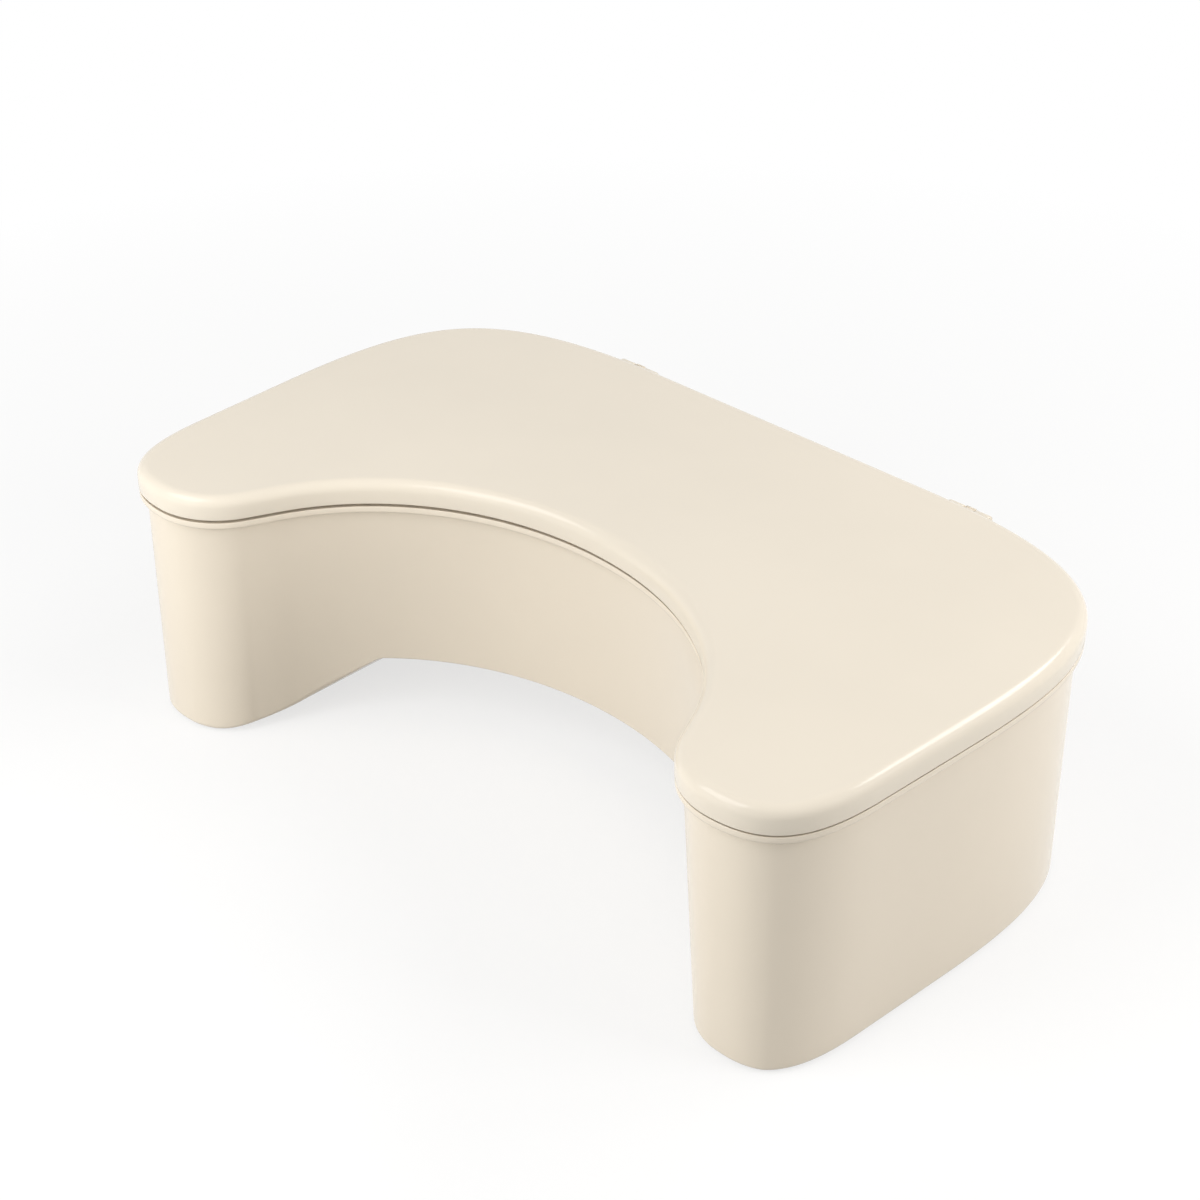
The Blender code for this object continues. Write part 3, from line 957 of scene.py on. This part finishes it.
    def knuckles(self) -> bpy.types.Object:
        """The lid's part of both hinges.

        Returns:
            The four knuckles on their short webs, with soft edges.
        """
        y, z = self.hinge.axis
        radius = self.hinge.knuckle_radius
        root = self.outline.back_y - self.skirt + self.weld
        nose = arc((y, z), radius, -QUARTER, QUARTER, self.hinge.round_steps // 2)
        section = nose + [(root, z + radius), (root, z - radius)]
        made = prisms("knuckles", section, self.hinge.knuckle_spans())
        soften(made, self.knuckle_rounding)
        return made

    def build(self, finish: bpy.types.Material) -> bpy.types.Object:
        """Makes the whole lid.

        Args:
            finish: The lid's material.

        Returns:
            The dressed piece.
        """
        piece = self.shell()
        combine(piece, self.ribs(), Join.ADD)
        combine(piece, self.knuckles(), Join.ADD)
        combine(piece, self.hinge.bores(), Join.CUT)
        piece.name = "lid_moulding"
        return dress(piece, finish, Body.LID, "lid")


@dataclass(frozen=True)
class Bridge:
    """The raised underside between the feet, as a height over X."""

    base: float
    end_x: float
    foot_base_width: float = 70.8 * MM
    height: float = 33.0 * MM
    slope: float = math.radians(41.5)
    upper_radius: float = 5.0 * MM
    lower_radius: float = 36.0 * MM
    bend_steps: int = 10

    @property
    def top_x(self) -> float:
        """Where the straight slope would meet the underside's flat middle."""
        return self.end_x - self.foot_base_width - self.height / math.tan(self.slope)

    def bends(self, above: float) -> tuple[float, float, float, float]:
        """Where the four bends of one side start and end.

        Args:
            above: How far the surface lies above the underside.

        Returns:
            The upper bend's start and end along X, then the lower bend's.
        """
        half_turn = math.tan(self.slope / 2)
        shift = above * half_turn
        upper, lower = self.upper_radius + above, self.lower_radius - above
        top_x = self.top_x + shift
        foot_x = top_x + self.height / math.tan(self.slope)
        upper_start = top_x - upper * half_turn
        lower_end = foot_x + lower * half_turn
        turn = math.sin(self.slope)
        return (upper_start, upper_start + upper * turn, lower_end - lower * turn, lower_end)

    def at(self, x: float, above: float = 0.0) -> float:
        """The underside's height, or that of a surface that lies above it.

        Args:
            x: Where the height is taken.
            above: How far the surface lies above the underside.

        Returns:
            The height.
        """
        away = abs(x)
        upper, lower = self.upper_radius + above, self.lower_radius - above
        upper_start, upper_end, lower_start, lower_end = self.bends(above)
        low = self.base + above
        high = low + self.height
        if away <= upper_start:
            return high
        if away < upper_end:
            return high - upper + math.sqrt(upper**2 - (away - upper_start) ** 2)
        if away <= lower_start:
            fall = (away - self.top_x - above * math.tan(self.slope / 2)) * math.tan(self.slope)
            return high - fall
        if away < lower_end:
            return low + lower - math.sqrt(lower**2 - (lower_end - away) ** 2)
        return low

    def tilt(self, x: float, above: float, step: float = 0.05 * MM) -> float:
        """How fast the surface rises towards +X."""
        return (self.at(x + step, above) - self.at(x - step, above)) / (2 * step)

    def cuts(self, above: float) -> list[float]:
        """Where a flat cap is cut so that it can follow the bends.

        Args:
            above: How far the cap lies above the underside.

        Returns:
            The cuts' places along X.
        """
        upper_start, upper_end, lower_start, lower_end = self.bends(above)
        found = []
        for start, end in ((upper_start, upper_end), (lower_start, lower_end)):
            run = [start + (end - start) * i / self.bend_steps for i in range(self.bend_steps + 1)]
            found += run + [-x for x in run]
        return found


@dataclass(frozen=True)
class AntiSlipPad:
    """One rubber pad with a soft rim, held in its recess under a foot."""

    node: str
    centre: Spot
    top: float
    radius: float = 9.0 * MM
    rim: float = 0.7 * MM
    dish: float = 0.25 * MM
    dish_share: float = 0.6
    rim_steps: int = 6
    sides: int = 96

    def build(self, finish: bpy.types.Material) -> bpy.types.Object:
        """Makes the pad.

        Args:
            finish: The pad's material.

        Returns:
            The dressed piece.
        """
        corner = (self.radius - self.rim, self.rim)
        inner = self.radius * self.dish_share
        profile = [
            (inner - self.rim, self.dish),
            (inner, self.dish),
            (inner + self.rim, 0.0),
            *arc(corner, self.rim, -QUARTER, 0.0, self.rim_steps),
            (self.radius, self.top),
        ]
        shape = bmesh.new()
        turned(shape, self.centre, profile, self.sides)
        piece = as_object(f"{self.node}_disc", shape)
        return dress(piece, finish, Body.BASE, self.node)


@dataclass(frozen=True)
class Tub:
    """The storage tub: round base edge, drafted wall, flange, locating lip and lugs."""

    outline: Outline
    hinge: Hinge
    lid: Lid
    bridge: Bridge
    pads: Sequence[AntiSlipPad]
    seam_gap: float = 1.6 * MM
    rest_gap: float = 0.3 * MM
    flange_inset: float = 0.2 * MM
    flange_thickness: float = 3.8 * MM
    flange_lower_radius: float = 1.6 * MM
    flange_upper_radius: float = 0.35 * MM
    bead_width: float = 0.8 * MM
    groove_depth: float = 0.5 * MM
    groove_slope: float = 0.2 * MM
    cove_radius: float = 2.0 * MM
    wall_inset: float = 3.8 * MM
    wall_draft: float = math.radians(0.2)
    notch_draft: float = math.radians(3.8)
    wall: float = 2.5 * MM
    floor: float = 3.0 * MM
    lip_inset: float = 4.8 * MM
    lip_thickness: float = 1.8 * MM
    lip_radius: float = 0.5 * MM
    foot_edge_radius: float = 2.4 * MM
    slope_edge_radius: float = 5.5 * MM
    middle_edge_radius: float = 1.2 * MM
    slope_peak_share: float = 0.35
    inner_edge_radius: float = 3.0 * MM
    support: float = 0.8 * MM
    skirt_clearance: float = 0.8 * MM
    flange_step: float = 0.4 * MM
    gusset_drop: float = 15.0 * MM
    stop_angle: float = math.radians(108.0)
    stop_gap: float = 0.3 * MM
    stop_flat: float = 1.4 * MM
    stop_nose_turn: float = math.radians(8.0)
    lug_rounding: float = 0.5 * MM
    pad_recess: float = 1.5 * MM
    pad_clearance: float = 0.3 * MM
    edge_steps: int = 9
    edge_tries: int = 6
    small_steps: int = 4

    @property
    def flange_top(self) -> float:
        """The height of the flange's top."""
        return self.lid.top - self.lid.height - self.seam_gap

    @property
    def flange_bottom(self) -> float:
        """The height of the flange's underside."""
        return self.flange_top - self.flange_thickness

    def inset_at(self, height: float, lean: float) -> float:
        """How far the outer wall lies inside the lid's edge.

        Args:
            height: Where the wall is measured.
            lean: The station's share of the notch's lean.

        Returns:
            The inset.
        """
        outer, inner = math.tan(self.wall_draft), math.tan(self.notch_draft)
        fall = outer + (inner - outer) * lean
        return self.wall_inset + fall * (self.flange_bottom - height)

    def edge_radius(self, x: float) -> float:
        """The base edge's rounding: small at the feet, wide on the slopes, thin between.

        Args:
            x: Where the radius is taken.

        Returns:
            The radius.
        """
        share = (self.bridge.at(x) - self.bridge.base) / self.bridge.height
        if share < self.slope_peak_share:
            grown = eased(share / self.slope_peak_share)
            return self.foot_edge_radius + (self.slope_edge_radius - self.foot_edge_radius) * grown
        shrunk = eased((share - self.slope_peak_share) / (1 - self.slope_peak_share))
        return self.slope_edge_radius + (self.middle_edge_radius - self.slope_edge_radius) * shrunk

    def lower_edge(
        self, station: Station, behind: float, above: float, radius_at: Callable[[float], float]
    ) -> list[Spot]:
        """The rounding between floor and wall at one station, from the floor outwards.

        Args:
            station: Where the section is taken.
            behind: How far the surface lies behind the outer wall.
            above: How far the surface lies above the underside.
            radius_at: The rounding's radius over X.

        Returns:
            Pairs of an inset and a height.
        """
        inset = self.wall_inset + behind
        for _ in range(self.edge_tries):
            x = station.at(inset, 0.0)[0]
            radius = radius_at(x)
            rise = math.atan(self.bridge.tilt(x, above) * station.out_x)
            centre_z = self.bridge.at(x, above) + radius / math.cos(rise)
            inset = self.inset_at(centre_z, station.lean) + behind + radius
        low = -QUARTER + rise
        found = [
            (
                inset - radius * math.cos(low * (1 - i / self.edge_steps)),
                centre_z + radius * math.sin(low * (1 - i / self.edge_steps)),
            )
            for i in range(self.edge_steps + 1)
        ]
        ledge = found[0][0] + self.support
        return [(ledge, self.bridge.at(station.at(ledge, 0.0)[0], above)), *found]

    def section(self, station: Station) -> list[Spot]:
        """The tub's section at one station, from the base round to the inner floor.

        Args:
            station: Where the section is taken.

        Returns:
            Pairs of an inset from the outline and a height.
        """
        top, bottom = self.flange_top, self.flange_bottom
        cove = (self.wall_inset - self.cove_radius, bottom - self.cove_radius)
        lower = (self.flange_inset + self.flange_lower_radius, bottom + self.flange_lower_radius)
        upper = (self.flange_inset + self.flange_upper_radius, top - self.flange_upper_radius)
        bead_end, groove = self.flange_inset + self.bead_width, top - self.groove_depth
        lip_top = self.lid.underside - self.rest_gap
        lip_outer = (self.lip_inset + self.lip_radius, lip_top - self.lip_radius)
        lip_inner_inset = self.lip_inset + self.lip_thickness
        lip_inner = (lip_inner_inset - self.lip_radius, lip_top - self.lip_radius)
        base = self.lower_edge(station, 0.0, 0.0, self.edge_radius)
        hollow = self.lower_edge(station, self.wall, self.floor, lambda _: self.inner_edge_radius)
        wall_start = base[-1][1] + self.support
        wall_end = cove[1] - self.support
        steps = self.small_steps
        return [
            *base,
            (self.inset_at(wall_start, station.lean), wall_start),
            (self.inset_at(wall_end, station.lean), wall_end),
            *arc(cove, self.cove_radius, 0.0, QUARTER, steps),
            *arc(lower, self.flange_lower_radius, 3 * QUARTER, math.pi, steps + 2),
            *arc(upper, self.flange_upper_radius, math.pi, QUARTER, steps),
            (bead_end - self.groove_slope, top),
            (bead_end, top - self.groove_slope),
            (bead_end + self.groove_slope, groove + self.groove_slope),
            (bead_end + self.groove_slope * 2, groove),
            (self.lip_inset - self.groove_slope, groove),
            (self.lip_inset, groove + self.groove_slope),
            *arc(lip_outer, self.lip_radius, math.pi, QUARTER, steps),
            *arc(lip_inner, self.lip_radius, QUARTER, 0.0, steps),
            (lip_inner_inset, bottom),
            *hollow[::-1],
        ]

    def shell(self) -> bpy.types.Object:
        """Draws the section round the outline, and bends floor and base over the bridge.

        Returns:
            The tub without its lugs and recesses.
        """
        shape = bmesh.new()
        stations = self.outline.stations()
        columns = [[s.at(*step) for step in self.section(s)] for s in stations]
        caps = skin(shape, list(zip(*columns)))
        for cap, above in zip(caps, (0.0, self.floor)):
            self.follow_bridge(shape, cap, above)
        return as_object("storage_tub_shell", shape)

    def follow_bridge(
        self, shape: bmesh.types.BMesh, cap: bmesh.types.BMFace, above: float
    ) -> None:
        """Cuts a cap into strips that follow the raised underside.

        Args:
            shape: The shape that holds the cap.
            cap: The cap's one face.
            above: How far the cap lies above the underside.
        """
        faces = [cap]
        for x in self.bridge.cuts(above):
            edges = {edge for face in faces for edge in face.edges}
            corners = {corner for face in faces for corner in face.verts}
            cut = bmesh.ops.bisect_plane(
                shape,
                geom=[*faces, *edges, *corners],
                dist=ON_PLANE,
                plane_co=(x, 0.0, 0.0),
                plane_no=(1.0, 0.0, 0.0),
            )
            faces = [item for item in cut["geom"] if isinstance(item, bmesh.types.BMFace)]
            for item in cut["geom_cut"]:
                if isinstance(item, bmesh.types.BMVert):
                    item.co.z = self.bridge.at(item.co.x, above)

    def lug_section(self) -> list[Spot]:
        """The outline of a lug: gusset, stem, stop flat and round nose.

        Returns:
            Its points in (y, z).
        """
        y, z = self.hinge.axis
        radius = self.hinge.lug_radius
        back = y + radius
        front = self.outline.back_y + self.skirt_clearance
        gusset_z = self.flange_bottom - self.gusset_drop
        wall_y = self.outline.back_y - self.inset_at(gusset_z, 0.0) - self.wall / 2
        slope = math.tan(self.stop_angle - QUARTER)
        reach = self.hinge.axis_back - self.stop_gap
        stop_back_z = z + reach / math.sin(self.stop_angle) - radius * slope
        stop_front = (back - self.stop_flat, stop_back_z + self.stop_flat * slope)
        start = math.acos((stop_front[0] - y) / radius) + self.stop_nose_turn
        end = math.pi - math.asin((self.hinge.axis_back - self.skirt_clearance - radius) / radius)
        return [
            (wall_y, gusset_z),
            (back, self.flange_bottom - self.support),
            (back, stop_back_z),
            stop_front,
            *arc((y, z), radius, start, end, self.hinge.round_steps // 3),
            (front, self.flange_top - self.flange_step),
            (wall_y, self.flange_top - self.flange_step),
        ]

    def lugs(self) -> bpy.types.Object:
        """The tub's part of both hinges.

        Returns:
            The two lugs, with soft edges.
        """
        made = prisms("lugs", self.lug_section(), self.hinge.lug_spans())
        soften(made, self.lug_rounding)
        return made

    def recesses(self) -> bpy.types.Object:
        """The cutter of the four pad recesses.

        Returns:
            Four short discs.
        """
        shape = bmesh.new()
        low = self.bridge.base - self.hinge.overrun
        for pad in self.pads:
            radius = pad.radius + self.pad_clearance
            profile = [(radius, low), (radius, self.bridge.base + self.pad_recess)]
            turned(shape, pad.centre, profile, self.hinge.round_steps * 2)
        return as_object("recesses", shape)

    def build(self, finish: bpy.types.Material) -> bpy.types.Object:
        """Makes the whole tub.

        Args:
            finish: The tub's material.

        Returns:
            The dressed piece.
        """
        piece = self.shell()
        combine(piece, self.lugs(), Join.ADD)
        combine(piece, self.hinge.bores(), Join.CUT)
        combine(piece, self.recesses(), Join.CUT)
        piece.name = "storage_tub_moulding"
        return dress(piece, finish, Body.BASE, "storage_tub")


@dataclass(frozen=True)
class HingePin:
    """One steel pin with chamfered ends, lying along X."""

    node: str
    hinge: Hinge
    middle: float
    recess: float = 0.5 * MM
    chamfer: float = 0.3 * MM

    def build(self, finish: bpy.types.Material) -> bpy.types.Object:
        """Makes the pin.

        Args:
            finish: The pin's material.

        Returns:
            The dressed piece.
        """
        end = self.hinge.length / 2 - self.recess
        radius = self.hinge.pin_radius
        steps = (
            (-end, radius - self.chamfer),
            (-end + self.chamfer, radius),
            (end - self.chamfer, radius),
            (end, radius - self.chamfer),
        )
        rows = []
        for along, reach in steps:
            ring = arc(self.hinge.axis, reach, 0.0, 2 * math.pi, self.hinge.round_steps)[:-1]
            rows.append([(self.middle + along, y, z) for y, z in ring])
        shape = bmesh.new()
        skin(shape, rows)
        piece = as_object(f"{self.node}_rod", shape)
        return dress(piece, finish, Body.BASE, self.node)


# Studio


def heading(azimuth: float, elevation: float) -> Vector:
    """The direction from the stool towards a lamp or the camera.

    Args:
        azimuth: Degrees from -Y towards +X.
        elevation: Degrees above the horizon.

    Returns:
        A direction of length one.
    """
    turn, rise = math.radians(azimuth), math.radians(elevation)
    flat = math.cos(rise)
    return Vector((math.sin(turn) * flat, -math.cos(turn) * flat, math.sin(rise)))


@dataclass(frozen=True)
class Softbox:
    """One large soft lamp that faces the stool."""

    name: str
    azimuth: float
    elevation: float
    distance: float
    width: float
    height: float
    power: float
    colour: Colour = (1.0, 1.0, 1.0)
    mirrored: bool = True

    def build(self, target: Vector) -> bpy.types.Object:
        """Hangs the lamp, which the gloss shows only if it is mirrored.

        Args:
            target: The point that it faces.

        Returns:
            The lamp.
        """
        lamp = bpy.data.lights.new(self.name, "AREA")
        lamp.shape = "RECTANGLE"
        lamp.size, lamp.size_y = self.width, self.height
        lamp.energy = self.power
        lamp.color = self.colour
        made = bpy.data.objects.new(self.name, lamp)
        made.visible_camera = False
        made.visible_glossy = self.mirrored
        bpy.context.scene.collection.objects.link(made)
        away = heading(self.azimuth, self.elevation)
        made.location = target + away * self.distance
        made.rotation_euler = away.to_track_quat("Z", "Y").to_euler()
        return made


@dataclass(frozen=True)
class Studio:
    """A white floor, soft lamps and the camera."""

    target: Vector
    azimuth: float = 44.143
    elevation: float = 31.689
    distance: float = 1.2814
    right_shift: float = -0.0289
    up_shift: float = -0.0026
    lens: float = 78.34
    sensor: float = 36.0
    floor_size: float = 12.0
    floor_colour: Colour = (0.90, 0.90, 0.89)
    floor_cells: int = 4
    mottle_per_metre: float = 30.0
    mottle_shade: float = 0.985
    bounce_colour: Colour = (0.50, 0.50, 0.49)
    glow_near_share: float = 0.70
    glow_near: float = 0.30
    glow_far: float = 0.80
    ambient: float = 0.355
    softboxes: Sequence[Softbox] = (
        Softbox(
            "lamp_left_low",
            azimuth=-13.0, elevation=16.0, distance=0.9,
            width=0.6, height=0.45, power=3.6, mirrored=False,
        ),
        Softbox(
            "lamp_left_sheen",
            azimuth=-22.0, elevation=46.0, distance=1.5,
            width=1.0, height=0.8, power=7.5,
        ),
        Softbox(
            "lamp_right_low",
            azimuth=111.0, elevation=26.0, distance=1.2,
            width=0.6, height=0.6, power=6.4, colour=(1.0, 0.985, 0.975), mirrored=False,
        ),
        Softbox(
            "lamp_right_edge",
            azimuth=153.0, elevation=44.0, distance=1.5,
            width=0.8, height=0.42, power=6.0,
        ),
        Softbox(
            "lamp_back_low",
            azimuth=215.0, elevation=9.0, distance=1.6,
            width=1.0, height=0.6, power=3.0, mirrored=False,
        ),
    )

    def camera(self) -> bpy.types.Object:
        """Sets the camera at the photograph's angle.

        Returns:
            The camera.
        """
        lens = bpy.data.cameras.new("camera")
        lens.lens = self.lens
        lens.sensor_width = self.sensor
        made = bpy.data.objects.new("camera", lens)
        bpy.context.scene.collection.objects.link(made)
        back = heading(self.azimuth, self.elevation)
        right = Vector((0.0, 0.0, 1.0)).cross(back).normalized()
        shift = right * self.right_shift + back.cross(right) * self.up_shift
        made.location = self.target + back * self.distance + shift
        made.rotation_euler = back.to_track_quat("Z", "Y").to_euler()
        bpy.context.scene.camera = made
        return made

    @staticmethod
    def seen(recipe: Recipe) -> Socket:
        """1 where a camera, mirror or glass ray looks, and 0 for all light.

        Args:
            recipe: The material that asks.

        Returns:
            The switch.
        """
        rays = recipe.node("LightPath").outputs
        looked = recipe.either(rays["Is Camera Ray"], rays["Is Glossy Ray"])
        return recipe.either(looked, rays["Is Transmission Ray"])

    def floor(self) -> bpy.types.Object:
        """Lays the white floor, which keeps the stool's soft shadow.

        To the eye it glows by a share that is least near the stool and whole further out. It
        lights the stool by its bounce colour.

        Returns:
            The floor.
        """
        shape = bmesh.new()
        cells = self.floor_cells
        bmesh.ops.create_grid(shape, x_segments=cells, y_segments=cells, size=self.floor_size / 2)
        made = as_object("floor", shape)
        recipe = Recipe("white_floor")
        place = recipe.node("TexCoord").outputs["Object"]
        mottle = recipe.noise(place, self.mottle_per_metre, detail=3.0, rough=0.6)
        plain, darker = shade(self.floor_colour, 1.0), shade(self.floor_colour, self.mottle_shade)
        shown = recipe.blend(recipe.spread(mottle, 0.0, 1.0), plain, darker)
        seen = self.seen(recipe)
        paint = recipe.blend(seen, shade(self.bounce_colour, 1.0), shown)
        matt = recipe.node("BsdfDiffuse", {"Color": paint})
        glow = recipe.node("Emission", {"Color": WHITE, "Strength": 1.0})
        away = recipe.node("VectorMath", {0: place}, operation="LENGTH").outputs["Value"]
        near = recipe.spread(away, self.glow_near_share, 1.0, self.glow_near, self.glow_far)
        share = recipe.node("Math", {0: seen, 1: near}, operation="MULTIPLY").outputs[0]
        mixed = {"Fac": share, 1: matt.outputs[0], 2: glow.outputs[0]}
        made.data.materials.append(recipe.done(recipe.node("MixShader", mixed)))
        return made

    def world(self) -> bpy.types.World:
        """Lights the room evenly and shows it white to the camera.

        Returns:
            The world.
        """
        world = bpy.data.worlds.new("studio")
        bpy.context.scene.world = world
        world.use_nodes = True
        nodes, links = world.node_tree.nodes, world.node_tree.links
        nodes.clear()
        rays = nodes.new("ShaderNodeLightPath")
        shown = rays.outputs["Is Camera Ray"]
        for kind in ("Is Glossy Ray", "Is Transmission Ray"):
            either = nodes.new("ShaderNodeMath")
            either.operation = "MAXIMUM"
            links.new(shown, either.inputs[0])
            links.new(rays.outputs[kind], either.inputs[1])
            shown = either.outputs[0]
        level = nodes.new("ShaderNodeMapRange")
        level.inputs["To Min"].default_value = self.ambient
        level.inputs["To Max"].default_value = 1.0
        back = nodes.new("ShaderNodeBackground")
        back.inputs["Color"].default_value = WHITE
        out = nodes.new("ShaderNodeOutputWorld")
        links.new(shown, level.inputs["Value"])
        links.new(level.outputs[0], back.inputs["Strength"])
        links.new(back.outputs[0], out.inputs["Surface"])
        return world

    def build(self) -> None:
        """Sets up the floor, the light and the camera."""
        self.camera()
        self.floor()
        self.world()
        for softbox in self.softboxes:
            softbox.build(self.target)
        bpy.context.scene.view_settings.view_transform = "Standard"


def node_middle(node: str) -> Spot:
    """The middle of a solid seen from above."""
    low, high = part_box(node)
    return ((low.x + high.x) / 2, (low.y + high.y) / 2)


def main() -> None:
    """Builds the stool's pieces in order, then the studio."""
    logging.basicConfig(level=logging.INFO, format="%(message)s")
    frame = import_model()
    lid_low, lid_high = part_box("lid")
    tub_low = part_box("storage_tub")[0]
    pad_names = sorted(name for name in frame["nodes"] if name.startswith("anti_slip_pad"))
    pin_names = sorted(name for name in frame["nodes"] if name.startswith("hinge_pin"))

    outline = Outline(front_y=lid_low.y)
    hinge = Hinge(outline, top=lid_high.z)
    lid = Lid(outline, hinge, top=lid_high.z)
    bridge = Bridge(base=tub_low.z, end_x=outline.width / 2)
    pads = [AntiSlipPad(name, node_middle(name), top=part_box(name)[1].z) for name in pad_names]
    tub = Tub(outline, hinge, lid, bridge, pads)

    tub.build(IvoryPlastic("tub_ivory", TUB_COLOUR).material())
    # The lid's ivory carries painted sheen: a paler, greyer copy of the tub's plastic colour
    lid.build(IvoryPlastic("lid_ivory_painted_sheen", LID_IVORY_WITH_PAINTED_SHEEN).material())
    steel = DrawnSteel().material()
    for name, middle in zip(pin_names, hinge.middles):
        HingePin(name, hinge, middle).build(steel)
    rubber = MattRubber().material()
    for pad in pads:
        pad.build(rubber)

    Studio(target=Vector(CAMERA_TARGET)).build()


if __name__ == "__main__":
    main()
